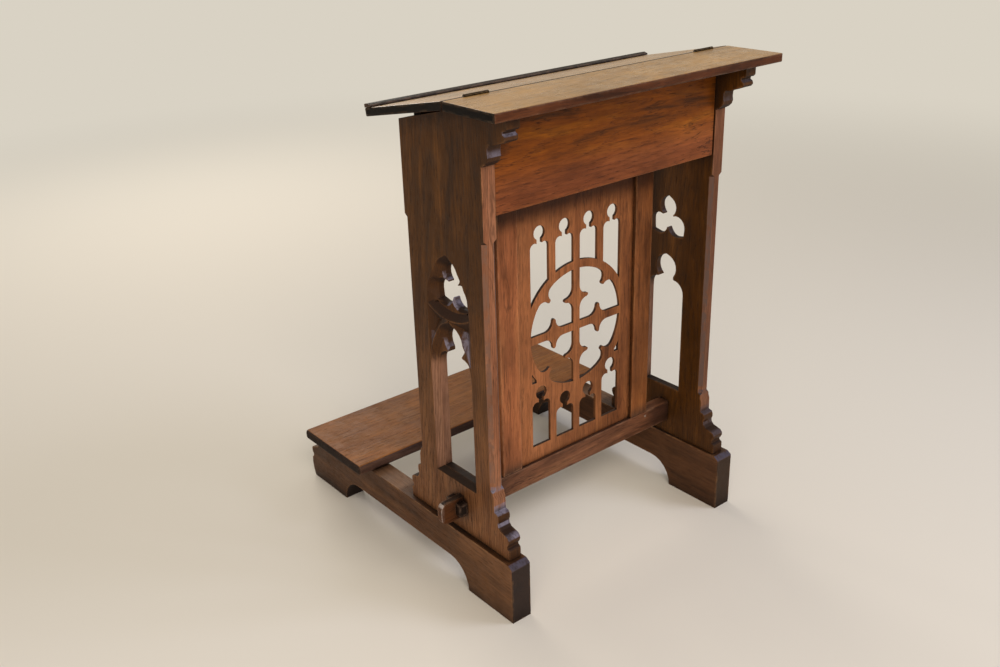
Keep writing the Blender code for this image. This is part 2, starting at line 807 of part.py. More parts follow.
def quadrant():
    """One trefoiled quarter of the ring, measured from the ring's centre, from the centre outwards."""
    fillet_x = BAR_HALF + FOIL_FILLET
    rim = math.degrees(math.atan2(RIM_LOBE_UP, RIM_LOBE_ACROSS))
    flat = math.degrees(math.acos(BAR_HALF / RING_INNER))
    half = arc((fillet_x, FOIL_LOW), FOIL_FILLET, 180, 90)
    half += [(CUSP_REACH, CUSP_LOW), (CUSP_REACH, CUSP_HIGH)]
    half += arc((fillet_x, FOIL_HIGH), FOIL_FILLET, 270, 180)
    half += arc((0, 0), RING_INNER, flat, rim + RIM_FLAT_PAST)
    lobe = (RIM_LOBE_ACROSS, RIM_LOBE_UP)
    half += arc(lobe, RIM_LOBE_RADIUS, rim - RIM_LOBE_BACK, RIM_LOBE_END)
    half += [(RIM_CUSP_ACROSS, RIM_CUSP_UP)]
    across = [(z, x) for x, z in reversed(half)]
    return [(BAR_HALF, BAR_HALF)] + half + across


def panel_piercings():
    shapes = []
    inner, outer = light_middles()
    for side in (-1, 1):
        shapes.append(upper_light(side * inner))
        shapes.append(upper_light(side * outer))
        shapes.append(lower_light(side * inner, LOWER_SHOULDER_INNER))
        shapes.append(lower_light(side * outer, LOWER_SHOULDER_OUTER))
        shapes.append([(side * x, z) for x, z in spandrel()])
        for up in (-1, 1):
            shapes.append([(side * x, TRACERY_LEVEL + up * z) for x, z in quadrant()])
    return shapes


def build_panel(material):
    edge = STILE_INNER + GROOVE_DEPTH
    low = (-edge, PANEL_FRONT, STRETCHER_HIGH - GROOVE_DEPTH)
    high = (edge, PANEL_FRONT + PANEL_THICK, APRON_LOW - FIT)
    panel = box("tracery_panel", low, high, material)
    meshes = []
    for shape in panel_piercings():
        ends = (PANEL_FRONT - PAST, PANEL_FRONT + PANEL_THICK + PAST)
        rings = [along_y(shape, station) for station in ends]
        meshes.append(loft_mesh("piercing", rings))
    boolean(panel, joined("panel_piercings", meshes))
    return panel


# Desk


def lid_top(y):
    return TOP_LEVEL - (y - LID_EDGE) * math.tan(LID_SLOPE)


def lid_under(y):
    return lid_top(y) - LID_THICK / math.cos(LID_SLOPE)


def build_apron(material):
    half = BOARD_INNER - FIT
    low = (-half, APRON_FRONT, APRON_LOW)
    high = (half, APRON_FRONT + APRON_THICK, TOP_UNDER - FIT)
    apron = box("apron", low, high, material)
    soften(apron, EDGE_ROUND)
    return apron


def build_well_bottom(material):
    half = BOARD_INNER - FIT
    low = (-half, APRON_FRONT + APRON_THICK + FIT, APRON_LOW)
    high = (half, WELL_BACK_FRONT - FIT, WELL_TOP)
    return box("well_bottom", low, high, material)


def build_well_back(material):
    half = BOARD_INNER - FIT
    front = WELL_BACK_FRONT
    rear = front + WELL_BACK_THICK
    outline = [(front, APRON_LOW), (rear, APRON_LOW), (rear, lid_under(rear) - FIT)]
    outline += [(front, lid_under(front) - FIT)]
    return prism("well_back", outline, along_x, -half, half, material)


def hinge_recess(name, toward, parent=None):
    """Room for the barrel and one leaf, cut into the edge of a board; toward is the board's side in Y."""
    y = 0 if parent else HINGE_Y
    z = 0 if parent else HINGE_Z
    barrel = KNUCKLE_RADIUS + FIT
    leaf = LID_GAP / 2 + LEAF_INSET + LEAF_THICK + FIT
    open_side = -toward * LID_GAP
    drop = LEAF_DROP + FIT
    points = [(open_side, PAST), (toward * barrel, PAST), (toward * barrel, -barrel)]
    points += [(toward * leaf, -barrel), (toward * leaf, -drop), (open_side, -drop)]
    half = HINGE_LENGTH / 2 + FIT
    meshes = []
    for middle in (-HINGE_X, HINGE_X):
        outline = [(y + across, z + up) for across, up in points]
        rings = [along_x(outline, middle - half), along_x(outline, middle + half)]
        meshes.append(loft_mesh(name, rings))
    return joined(name, meshes, parent)


def build_top_board(material):
    low = (-TOP_HALF, TOP_FRONT, TOP_UNDER)
    high = (TOP_HALF, FIXED_EDGE, TOP_LEVEL)
    board = box("top_board", low, high, material)
    soften(board, EDGE_ROUND)
    boolean(board, hinge_recess("top_board_recess", -1))
    return board


def about_hinge(outline):
    return [(y - HINGE_Y, z - HINGE_Z) for y, z in outline]


def build_lid(material, axis):
    rise = LID_THICK * math.sin(LID_SLOPE)
    under_rear = (LID_REAR - rise, lid_top(LID_REAR) - LID_THICK * math.cos(LID_SLOPE))
    outline = [(LID_EDGE, lid_top(LID_EDGE)), (LID_EDGE, lid_under(LID_EDGE)), under_rear]
    outline += [(LID_REAR, lid_top(LID_REAR))]
    lid = prism("lid", about_hinge(outline), along_x, -TOP_HALF, TOP_HALF, material, axis)
    soften(lid, EDGE_ROUND)
    boolean(lid, hinge_recess("lid_recess", 1, axis))
    return lid


def stop_shares():
    """The strip's section, from its upper foot round, as shares of its width and height."""
    return (1.00, 0.00), (0.00, 0.00), (0.00, 1.00), (0.55, 1.00), (1.00, 0.45)


def build_book_stop(material, axis):
    """The low strip that stops a book, square to the lid and just clear of it."""
    along = (math.cos(LID_SLOPE), -math.sin(LID_SLOPE))
    out = (math.sin(LID_SLOPE), math.cos(LID_SLOPE))
    foot = (LID_REAR, lid_top(LID_REAR))
    outline = []
    for back, rise in stop_shares():
        down = STOP_SETBACK + STOP_WIDTH * back
        up = FIT + STOP_HEIGHT * rise
        outline.append((foot[0] - down * along[0] + up * out[0], foot[1] - down * along[1] + up * out[1]))
    return prism("book_stop", about_hinge(outline), along_x, -TOP_HALF, TOP_HALF, material, axis)


# Hinges


def knuckle_spans(middle, first):
    """The stretches of barrel that belong to one leaf: every second knuckle from first."""
    length = HINGE_LENGTH / KNUCKLES
    start = middle - HINGE_LENGTH / 2
    spans = []
    for index in range(first, KNUCKLES, 2):
        low = start + length * index + KNUCKLE_GAP / 2
        spans.append((low, low + length - KNUCKLE_GAP))
    return spans


def tube_mesh(name, low, high, radius, centre):
    last = 360 - 360 / ROUND_SIDES
    outline = arc(centre, radius, 0, last, ROUND_SIDES - 1)
    return loft_mesh(name, [along_x(outline, station) for station in (low, high)])


def build_leaf(name, middle, toward, first, material, axis=None):
    """A hinge leaf with its knuckles: a plate that hangs from the barrel against the board's edge."""
    y = 0 if axis else HINGE_Y
    z = 0 if axis else HINGE_Z
    near = y + toward * (LID_GAP / 2 + LEAF_INSET)
    far = y + toward * (LID_GAP / 2 + LEAF_INSET + LEAF_THICK)
    edges = sorted((near, far))
    half = HINGE_LENGTH / 2
    below = z - KNUCKLE_RADIUS - FIT
    low = (middle - half, edges[0], z - LEAF_DROP)
    high = (middle + half, edges[1], below)
    plate = box(name, low, high, material, axis)
    tabs = []
    barrels = []
    foot = below - LEAF_THICK
    for start, end in knuckle_spans(middle, first):
        outline = [(edges[0], foot), (edges[1], foot), (edges[1], z), (edges[0], z)]
        tabs.append(loft_mesh("tab", [along_x(outline, start), along_x(outline, end)]))
        barrels.append(tube_mesh("barrel", start, end, KNUCKLE_RADIUS, (y, z)))
    boolean(plate, joined(name + "_tabs", tabs, axis), "UNION")
    boolean(plate, joined(name + "_barrels", barrels, axis), "UNION")
    bore_radius = PIN_RADIUS + PIN_CLEARANCE
    bore = tube_mesh("bore", middle - half - PAST, middle + half + PAST, bore_radius, (y, z))
    boolean(plate, joined(name + "_bore", [bore], axis))
    return plate


def build_pin(name, middle, material):
    half = HINGE_LENGTH / 2
    mesh = tube_mesh(name, middle - half, middle + half, PIN_RADIUS, (HINGE_Y, HINGE_Z))
    return add_object(name, mesh, material)


# Kneeler


def build_kneeler(material):
    low = (-KNEELER_HALF, KNEELER_FRONT, RAIL_HEIGHT + FIT)
    high = (KNEELER_HALF, KNEELER_REAR, RAIL_HEIGHT + FIT + KNEELER_THICK)
    plank = box("kneeler", low, high, material)
    soften(plank, KNEELER_ROUND, 3)
    return plank


def build_base():
    oak = rail_oak()
    build_rail("base_rail_left", -1, oak)
    build_rail("base_rail_right", 1, oak)
    build_kneeler(kneeler_oak())


def build_ends():
    oak = board_oak()
    build_board("side_board_left", -1, oak)
    build_board("side_board_right", 1, oak)


def build_front():
    build_stretcher(panel_oak())
    oak = wedge_oak()
    build_wedge("wedge_left", -1, oak)
    build_wedge("wedge_right", 1, oak)
    stile = panel_oak()
    build_stile("stile_left", -1, stile)
    build_stile("stile_right", 1, stile)
    build_panel(panel_oak())


def build_desk():
    build_apron(apron_oak())
    dark = board_oak()
    build_well_bottom(dark)
    build_well_back(dark)
    build_top_board(top_oak())
    axis = bpy.data.objects.new("lid_hinge_axis", None)
    bpy.context.scene.collection.objects.link(axis)
    axis.location = (0, HINGE_Y - CENTRE_Y, HINGE_Z)
    build_lid(top_oak(), axis)
    build_book_stop(wedge_oak(), axis)
    brass = hinge_brass()
    steel = pin_steel()
    for word, side in (("left", -1), ("right", 1)):
        middle = side * HINGE_X
        build_leaf("hinge_leaf_fixed_" + word, middle, -1, 0, brass)
        build_leaf("hinge_leaf_lid_" + word, middle, 1, 1, brass, axis)
        build_pin("hinge_pin_" + word, middle, steel)


clear_scene()
build_base()
build_ends()
build_front()
build_desk()
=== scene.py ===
import math

import bmesh
import bpy
from mathutils import Matrix, Vector


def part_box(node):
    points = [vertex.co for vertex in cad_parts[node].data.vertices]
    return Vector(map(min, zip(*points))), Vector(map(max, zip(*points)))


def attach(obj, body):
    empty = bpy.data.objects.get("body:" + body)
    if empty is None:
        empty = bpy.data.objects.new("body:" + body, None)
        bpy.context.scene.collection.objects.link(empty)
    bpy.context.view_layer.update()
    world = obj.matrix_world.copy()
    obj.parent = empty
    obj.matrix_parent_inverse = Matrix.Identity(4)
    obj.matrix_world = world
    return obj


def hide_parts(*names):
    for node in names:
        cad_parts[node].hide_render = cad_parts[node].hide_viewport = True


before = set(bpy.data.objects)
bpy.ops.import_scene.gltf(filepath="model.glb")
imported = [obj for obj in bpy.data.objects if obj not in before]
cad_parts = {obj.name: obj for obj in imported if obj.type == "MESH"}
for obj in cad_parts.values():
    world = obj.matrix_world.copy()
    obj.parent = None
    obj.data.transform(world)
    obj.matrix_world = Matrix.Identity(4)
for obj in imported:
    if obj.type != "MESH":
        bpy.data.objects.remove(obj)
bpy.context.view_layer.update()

# Camera: it stands off the lectern's left front corner at chest height and looks down on the desk,
# the traceried front and the near side board, with a lens and a small roll as in the photograph.
CAMERA_STAND = (-1.1630, -1.3922, 1.1537)
CAMERA_TURN = -38.999
CAMERA_TILT = 90 - 24.146
CAMERA_ROLL = -1.740
FOCAL_LENGTH = 38.496
FILM_WIDTH = 36

turn = Matrix.Rotation(math.radians(CAMERA_TURN), 4, "Z")
tilt = Matrix.Rotation(math.radians(CAMERA_TILT), 4, "X")
roll = Matrix.Rotation(math.radians(CAMERA_ROLL), 4, "Z")
camera_data = bpy.data.cameras.new("camera")
camera_data.lens = FOCAL_LENGTH
camera_data.sensor_width = FILM_WIDTH
camera = bpy.data.objects.new("camera", camera_data)
camera.matrix_world = Matrix.Translation(CAMERA_STAND) @ turn @ tilt @ roll
bpy.context.scene.collection.objects.link(camera)
bpy.context.scene.camera = camera
bpy.context.scene.view_settings.view_transform = "Standard"


# Studio floor: a wide sheet of pale matt paper that the feet stand on.
# It keeps the shadow near the lectern and fades into the backdrop's own tone further off.
BACKDROP = "D9D2C4"
PAPER = "E2DBCE"
PAPER_HALF = 14
FADE_START = 1.3
FADE_END = 4.2
PAPER_ROUGH = 0.85


def colour(code):
    """A linear RGBA colour from an sRGB hex code."""
    steps = [int(code[place:place + 2], 16) / 255 for place in (0, 2, 4)]
    linear = [step / 12.92 if step <= 0.04045 else ((step + 0.055) / 1.055) ** 2.4 for step in steps]
    return (*linear, 1)


def node(tree, kind, inputs=None, out=0, **settings):
    """The output asked for of a new shader node with its settings, plain values and links."""
    made = tree.nodes.new("ShaderNode" + kind)
    for name, value in settings.items():
        setattr(made, name, value)
    for name, value in (inputs or {}).items():
        if isinstance(value, bpy.types.NodeSocket):
            tree.links.new(value, made.inputs[name])
        else:
            made.inputs[name].default_value = value
    return made.outputs[out]


def seen_ray(tree):
    """1 for rays that show the backdrop: from the camera, in a gloss or through a gap."""
    rays = node(tree, "LightPath").node.outputs
    direct = node(tree, "Math", {0: rays["Is Camera Ray"], 1: rays["Is Glossy Ray"]},
                  operation="MAXIMUM")
    return node(tree, "Math", {0: direct, 1: rays["Is Transmission Ray"]}, operation="MAXIMUM")


def matt_paper():
    """Backdrop paper: an even matt sheet that keeps the soft shadow and has no gloss."""
    material = bpy.data.materials.new("matt backdrop paper")
    material.use_nodes = True
    tree = material.node_tree
    sheet = tree.nodes["Principled BSDF"]
    sheet.inputs["Base Color"].default_value = colour(PAPER)
    sheet.inputs["Roughness"].default_value = PAPER_ROUGH
    place = node(tree, "TexCoord", out="Object")
    reach = node(tree, "VectorMath", {0: place}, out="Value", operation="LENGTH")
    far = node(tree, "MapRange", {"Value": reach, "From Min": FADE_START, "From Max": FADE_END},
               interpolation_type="SMOOTHSTEP")
    fade = node(tree, "Math", {0: far, 1: seen_ray(tree)}, operation="MULTIPLY")
    glow = node(tree, "Emission", {"Color": colour(BACKDROP), "Strength": 1})
    both = node(tree, "MixShader", {0: fade, 1: sheet.outputs[0], 2: glow})
    tree.links.new(both, tree.nodes["Material Output"].inputs["Surface"])
    return material


floor_mesh = bpy.data.meshes.new("floor")
work = bmesh.new()
bmesh.ops.create_grid(work, x_segments=1, y_segments=1, size=PAPER_HALF)
work.to_mesh(floor_mesh)
work.free()
floor = bpy.data.objects.new("floor", floor_mesh)
floor_mesh.materials.append(matt_paper())
bpy.context.scene.collection.objects.link(floor)


# Studio light: a pale room that lights every side, a broad soft lamp before the front and a little left
# with a second one low beside it, a cooler one high on the right and one behind.
ROOM_LIGHT = 0.38
ROOM_TINT = "FFFCF6"
# Each lamp's place, width in metres, power in watts and tint
LAMPS = {
    "key": ((-1.15, -2.1, 2.05), 1.1, 31, "FFF4E8"),
    "low": ((-2.6, -2.1, 0.95), 1.0, 26, "FFF2E4"),
    "high": ((1.6, -1.9, 2.3), 1.0, 30, "DCE4FF"),
    "rear": ((0.6, 3.0, 2.0), 1.8, 46, "FFF7EC"),
}
AIM = Vector((0, 0, 0.45))

world = bpy.data.worlds.new("pale room")
world.use_nodes = True
bpy.context.scene.world = world
room = world.node_tree
lit = room.nodes["Background"]
lit.inputs["Color"].default_value = colour(ROOM_TINT)
lit.inputs["Strength"].default_value = ROOM_LIGHT
shown = node(room, "Background", {"Color": colour(BACKDROP), "Strength": 1})
mixed = node(room, "MixShader", {0: seen_ray(room), 1: lit.outputs[0], 2: shown})
room.links.new(mixed, room.nodes["World Output"].inputs["Surface"])

for name, (stand, width, power, tint) in LAMPS.items():
    lamp_data = bpy.data.lights.new(name, "AREA")
    lamp_data.size = width
    lamp_data.energy = power
    lamp_data.color = colour(tint)[:3]
    lamp = bpy.data.objects.new(name, lamp_data)
    lamp.location = stand
    lamp.visible_camera = False
    lamp.rotation_euler = (AIM - Vector(stand)).to_track_quat("-Z", "Y").to_euler()
    bpy.context.scene.collection.objects.link(lamp)


# Base rails: two sledge feet of oak, sawn to coved feet and an arched underside and stained dark.
# Wax and floor dirt give them a soft brown sheen. They go nearly black at the sawn ends, and in the
# coves with dirt and painted shade.
# A painted grey sheen lies on the toe's slope. Shoes have worn their upper faces paler, and every arris
# is worn round.
RAIL_EASE = 0.0011
MERGE = 0.00005               # corners closer than this are one corner
FLAT = math.radians(0.4)      # faces that turn less than this are one face
ARRIS = math.radians(28)      # an edge that turns more than this is an arris
ROUNDING_STEPS = 2


def eased(name, ease):
    """The node's own shape with the sharp arrises of its wood worn round."""
    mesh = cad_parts[name].data.copy()
    work = bmesh.new()
    work.from_mesh(mesh)
    bmesh.ops.remove_doubles(work, verts=work.verts, dist=MERGE)
    bmesh.ops.dissolve_limit(work, angle_limit=FLAT, use_dissolve_boundaries=False,
                             verts=work.verts, edges=work.edges, delimit=set())
    arrises = [edge for edge in work.edges if edge.calc_face_angle(0) > ARRIS]
    bmesh.ops.bevel(work, geom=arrises, offset=ease, offset_type="OFFSET", affect="EDGES",
                    segments=ROUNDING_STEPS, profile=0.5, material=-1, clamp_overlap=False,
                    loop_slide=True)
    for face in work.faces:
        face.smooth = True
        face.material_index = 0
    work.to_mesh(mesh)
    work.free()
    mesh.materials.clear()
    piece = bpy.data.objects.new(name + "_eased", mesh)
    bpy.context.scene.collection.objects.link(piece)
    piece.modifiers.new("even shading", "WEIGHTED_NORMAL")
    return piece


def fitted(name, ease, body, material):
    """An eased piece in its finish, riding on its body in place of its node."""
    piece = eased(name, ease)
    piece.data.name = piece.name
    piece.data.materials.append(material)
    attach(piece, body)
    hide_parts(name)
    return piece


# The oak's grain: how the log is turned to run along each axis, its stretch along the fibres, and the
# noise scale per metre of each pattern, worked out from its real width
GRAIN = {"X": (0, 90, 0), "Y": (-90, 0, 0), "Z": (0, 0, 0)}
LENGTHWISE = 9        # figure is nine times longer than it is wide
FIBRE_STRETCH = 0.7   # and pores and fibres are longer still
WAVE_SPAN = 314       # a ring pattern of scale 1 repeats every 314 mm
PORES = 760           # pores are 0.3 mm wide in real oak, drawn about 1.5 mm wide so that they show
THREADS = 210         # bundles of fibres about 5 mm wide
BANDS = 34            # bands of tone about 30 mm wide
CLOUDS = 11           # clouds about 90 mm wide, where the stain took more or less
LINES = 44            # thin dark mineral lines about 20 mm apart
CHAFING = 42          # patches of wear about 25 mm wide
# The reach of wear in from an arris and of painted shade in a carved hollow, and the pores' depth, in
# metres
ARRIS_REACH = 0.004
HOLLOW_REACH = 0.012
PORE_DEPTH = 0.0004
STAIN = "140B07"


def waxed_oak(name, grain, heart, lean, tones, ring=3.0, figure=0.3, streaks=0.4, wear=0.6, dirt_and_shade=0.85,
              reach=0.02, gloss=0.44, shine=0.14, end=0.85, end_tone="1A1310", rubs_and_painted_light=(), carved=None,
              painted_sheen=(), axes="YZ"):
    """Waxed oak as solid wood, with rings round the log's heart, stained pores, wear, dirt and painted
    light.

    The heart is a point of the log's axis in metres, the lean its two small turns in degrees off the
    grain, a ring is in millimetres and the reach of corner dirt and painted shade in metres. Tones run
    from deep through mid and pale to worn. Each zone entry gives the side that hands, knees or shoes
    have worn, or where painted light or painted shade lies, its two tones, how far a face may slant
    from that side and its zones. Carved gives the axis across a board, the tone of the faces cut into
    it, darker by stain and by painted shade in the hollows, and the zones that keep their own. Each
    painted sheen gives the tone of a painted grey reflection, the least slope that it lies on and its
    zones. The zones are boxes across the two axes named.
    """
    deep, mid, pale, worn = [colour(code) for code in tones]
    smooth = {"interpolation_type": "SMOOTHSTEP"}
    times = {"operation": "MULTIPLY"}
    paint = {"data_type": "RGBA", "out": 2}
    material = bpy.data.materials.new(name)
    material.use_nodes = True
    tree = material.node_tree
    wood = tree.nodes["Principled BSDF"]

    turned = [math.radians(angle) for angle in GRAIN[grain]]
    across = [index for index in range(3) if index != "XYZ".index(grain)]
    for index, angle in zip(across, lean):
        turned[index] += math.radians(angle)
    place = node(tree, "TexCoord", out="Object")
    facing = node(tree, "TexCoord", out="Normal")
    parts = node(tree, "SeparateXYZ", {0: place}).node.outputs
    slopes = node(tree, "SeparateXYZ", {0: facing}).node.outputs
    log = node(tree, "Mapping", {"Vector": place, "Location": heart, "Rotation": turned,
                                 "Scale": (1, 1, LENGTHWISE)}, vector_type="TEXTURE")
    fibres = node(tree, "Mapping", {"Vector": log, "Scale": (1, 1, FIBRE_STRETCH)})

    def within(zones):
        """1 inside the zones, each a low and a high corner and a soft border, in metres."""
        mask = 0.0
        for low, high, soft in zones:
            inside = 1.0
            for letter, least, most in zip(axes, low, high):
                for edge, outside in ((least, least - soft), (most, most + soft)):
                    past = node(tree, "MapRange", {"Value": parts[letter], "From Min": outside,
                                                   "From Max": edge}, **smooth)
                    inside = node(tree, "Math", {0: inside, 1: past}, **times)
            mask = node(tree, "Math", {0: mask, 1: inside}, operation="MAXIMUM")
        return mask

    # Each ring starts with a band of open pores and closes with dense, paler wood
    rings = node(tree, "TexWave", {"Vector": log, "Scale": WAVE_SPAN / ring, "Distortion": 11,
                                   "Detail": 4, "Detail Scale": 0.3, "Detail Roughness": 0.65},
                 out="Fac", wave_type="RINGS", rings_direction="Z", wave_profile="SAW")
    early = node(tree, "MapRange", {"Value": rings, "From Min": 0.6, "From Max": 0}, **smooth)
    grit = node(tree, "TexNoise", {"Vector": fibres, "Scale": PORES, "Detail": 1.5}, out="Fac")
    pitted = node(tree, "MapRange", {"Value": grit, "From Min": 0.55, "From Max": 0.66}, **smooth)
    open_wood = node(tree, "MapRange", {"Value": early, "To Min": 0.4}, **smooth)
    pores = node(tree, "Math", {0: pitted, 1: open_wood}, **times)
    threads = node(tree, "TexNoise", {"Vector": fibres, "Scale": THREADS, "Detail": 5,
                                      "Roughness": 0.7}, out="Fac")
    bands = node(tree, "TexNoise", {"Vector": log, "Scale": BANDS, "Detail": 5, "Roughness": 0.62,
                                    "Distortion": 0.5}, out="Fac")
    clouds = node(tree, "TexNoise", {"Vector": place, "Scale": CLOUDS, "Detail": 3, "Roughness": 0.55},
                  out="Fac")
    # Dark mineral lines come and go along the level lines of a slow noise
    drift = node(tree, "TexNoise", {"Vector": log, "Scale": LINES, "Detail": 4, "Roughness": 0.6,
                                    "Distortion": 0.7}, out="Fac")
    off = node(tree, "Math", {0: drift, 1: 0.5}, operation="SUBTRACT")
    gap = node(tree, "Math", {0: off}, operation="ABSOLUTE")
    thin = node(tree, "MapRange", {"Value": gap, "From Min": 0.022, "From Max": 0.002}, **smooth)
    patches = node(tree, "MapRange", {"Value": clouds, "From Min": 0.46, "From Max": 0.62}, **smooth)
    lines = node(tree, "Math", {0: thin, 1: patches}, **times)

    # The bands run from deep through mid to pale, and each zone of wear, of painted light and of
    # painted shade takes its own two tones
    middling = node(tree, "MapRange", {"Value": bands, "From Min": 0.3, "From Max": 0.5}, **smooth)
    palest = node(tree, "MapRange", {"Value": bands, "From Min": 0.5, "From Max": 0.72}, **smooth)
    tone = node(tree, "Mix", {0: middling, 6: deep, 7: mid}, **paint)
    tone = node(tree, "Mix", {0: palest, 6: tone, 7: pale}, **paint)
    for side, zone_dark_tone, zone_light_tone, slant, zones in rubs_and_painted_light:
        toward = node(tree, "VectorMath", {0: facing, 1: side}, out="Value", operation="DOT_PRODUCT")
        zone_mask = node(tree, "MapRange", {"Value": toward, "From Min": slant, "From Max": slant + 0.2},
                       **smooth)
        zone_mask = node(tree, "Math", {0: zone_mask, 1: within(zones)}, **times)
        lighter = node(tree, "MapRange", {"Value": bands, "From Min": 0.32, "From Max": 0.68}, **smooth)
        zone_tone = node(tree, "Mix", {0: lighter, 6: colour(zone_dark_tone), 7: colour(zone_light_tone)}, **paint)
        tone = node(tree, "Mix", {0: zone_mask, 6: tone, 7: zone_tone}, **paint)
    figured = node(tree, "Math", {0: early, 1: figure}, **times)
    tone = node(tree, "Mix", {0: figured, 6: tone, 7: deep}, **paint)
    fine = node(tree, "MapRange", {"Value": threads, "From Min": 0.3, "From Max": 0.7,
                                   "To Min": 0.82, "To Max": 1.18}, **smooth)
    broad = node(tree, "MapRange", {"Value": clouds, "From Min": 0.3, "From Max": 0.7,
                                    "To Min": 0.8, "To Max": 1.16}, **smooth)
    level = node(tree, "Math", {0: fine, 1: broad}, **times)
    tone = node(tree, "VectorMath", {0: tone, "Scale": level}, operation="SCALE")
    streaked = node(tree, "Math", {0: lines, 1: streaks}, **times)
    tone = node(tree, "Mix", {0: streaked, 6: tone, 7: colour(STAIN)}, **paint)
    filled = node(tree, "Math", {0: pores, 1: 0.5}, **times)
    tone = node(tree, "Mix", {0: filled, 6: tone, 7: colour(STAIN)}, **paint)

    # Sawn ends drink more stain than faces do and go almost black
    axis = [1.0 if letter == grain else 0.0 for letter in "XYZ"]
    lying = node(tree, "VectorMath", {0: facing, 1: axis}, out="Value", operation="DOT_PRODUCT")
    lying = node(tree, "Math", {0: lying}, operation="ABSOLUTE")
    sawn = node(tree, "MapRange", {"Value": lying, "From Min": 0.3, "From Max": 0.6}, **smooth)
    drunk = node(tree, "Math", {0: sawn, 1: end}, **times)
    tone = node(tree, "Mix", {0: drunk, 6: tone, 7: colour(end_tone)}, **paint)

    # Hands and cloths rub the arrises bare
    chafe = node(tree, "TexNoise", {"Vector": place, "Scale": CHAFING, "Detail": 4, "Roughness": 0.7},
                 out="Fac")
    inward = node(tree, "AmbientOcclusion", {"Distance": ARRIS_REACH}, out="AO", samples=3, inside=True,
                  only_local=True)
    arris = node(tree, "MapRange", {"Value": inward, "From Min": 0.97, "From Max": 0.6}, **smooth)
    bare = node(tree, "MapRange", {"Value": chafe, "From Min": 0.4, "From Max": 0.62, "To Max": wear},
                **smooth)
    bare = node(tree, "Math", {0: arris, 1: bare}, **times)
    tone = node(tree, "Mix", {0: bare, 6: tone, 7: worn}, **paint)

    # Faces carved or sawn into a board are stained darker, and painted shade makes them darkest in the
    # hollows
    if carved:
        level_face = node(tree, "Math", {0: slopes[carved[0]]}, operation="ABSOLUTE")
        cut = node(tree, "MapRange", {"Value": level_face, "From Min": 0.95, "From Max": 0.8}, **smooth)
        if carved[2:]:
            kept = node(tree, "Math", {0: 1.0, 1: within(carved[2])}, operation="SUBTRACT")
            cut = node(tree, "Math", {0: cut, 1: kept}, **times)
        hollow = node(tree, "AmbientOcclusion", {"Distance": HOLLOW_REACH}, out="AO", samples=4)
        hollow_shade = node(tree, "MapRange", {"Value": hollow, "From Min": 0.92, "From Max": 0.6,
                                       "To Min": 0.45}, **smooth)
        cut = node(tree, "Math", {0: cut, 1: hollow_shade}, **times)
        uneven = node(tree, "MapRange", {"Value": chafe, "From Min": 0.36, "From Max": 0.6,
                                         "To Min": 0.6}, **smooth)
        cut = node(tree, "Math", {0: cut, 1: uneven}, **times)
        tone = node(tree, "Mix", {0: cut, 6: tone, 7: colour(carved[1])}, **paint)

    # Dust and old wax stay in the corners, and painted shade darkens the same corners; both take the
    # stain colour
    outward = node(tree, "AmbientOcclusion", {"Distance": reach}, out="AO", samples=4)
    corner = node(tree, "MapRange", {"Value": outward, "From Min": 0.86, "From Max": 0.54,
                                     "To Max": dirt_and_shade}, **smooth)
    corner_breakup = node(tree, "MapRange", {"Value": chafe, "From Min": 0.3, "From Max": 0.55, "To Min": 0.75},
                 **smooth)
    dirt_and_shade_mask = node(tree, "Math", {0: corner, 1: corner_breakup}, **times)
    tone = node(tree, "Mix", {0: dirt_and_shade_mask, 6: tone, 7: colour(STAIN)}, **paint)
    # Painted sheen: in the listed zones, upward and turned facets take a grey tone that is a painted
    # reflection of light
    for sheen_tone, least_slope, zones in painted_sheen:
        aside = node(tree, "Math", {0: slopes["X"]}, operation="ABSOLUTE")
        lift = node(tree, "Math", {0: aside, 1: 0.6, 2: slopes["Z"]}, operation="MULTIPLY_ADD")
        off_face = node(tree, "MapRange", {"Value": aside, "From Min": 0.95, "From Max": 0.8}, **smooth)
        upturned = node(tree, "MapRange", {"Value": lift, "From Min": least_slope,
                                       "From Max": least_slope + 0.45}, **smooth)
        upturned = node(tree, "Math", {0: off_face, 1: upturned}, **times)
        dabs = node(tree, "MapRange", {"Value": chafe, "From Min": 0.36, "From Max": 0.52,
                                       "To Min": 0.3}, **smooth)
        combed = node(tree, "MapRange", {"Value": threads, "From Min": 0.35, "From Max": 0.55,
                                         "To Min": 0.4}, **smooth)
        patchy = node(tree, "Math", {0: dabs, 1: combed}, **times)
        sheen_mask = node(tree, "Math", {0: upturned, 1: patchy}, **times)
        sheen_mask = node(tree, "Math", {0: sheen_mask, 1: within(zones)}, **times)
        tone = node(tree, "Mix", {0: sheen_mask, 6: tone, 7: colour(sheen_tone)}, **paint)
    tree.links.new(tone, wood.inputs["Base Color"])

    # Open pores and sawn ends are duller than the polished wax, and the pores lie a little deeper
    dull = node(tree, "MapRange", {"Value": chafe, "From Min": 0.3, "From Max": 0.7,
                                   "To Min": gloss - 0.06, "To Max": gloss + 0.08}, **smooth)
    dull = node(tree, "Math", {0: pores, 1: 0.2, 2: dull}, operation="MULTIPLY_ADD")
    dull = node(tree, "Math", {0: sawn, 1: 0.2, 2: dull}, operation="MULTIPLY_ADD")
    tree.links.new(dull, wood.inputs["Roughness"])
    wood.inputs["Specular IOR Level"].default_value = shine
    sunk = node(tree, "Math", {0: pores, 1: -0.8, 2: threads}, operation="MULTIPLY_ADD")
    sunk = node(tree, "Math", {0: early, 1: -0.3, 2: sunk}, operation="MULTIPLY_ADD")
    relief = node(tree, "Bump", {"Height": sunk, "Strength": 0.45, "Distance": PORE_DEPTH})
    tree.links.new(relief, wood.inputs["Normal"])
    return material


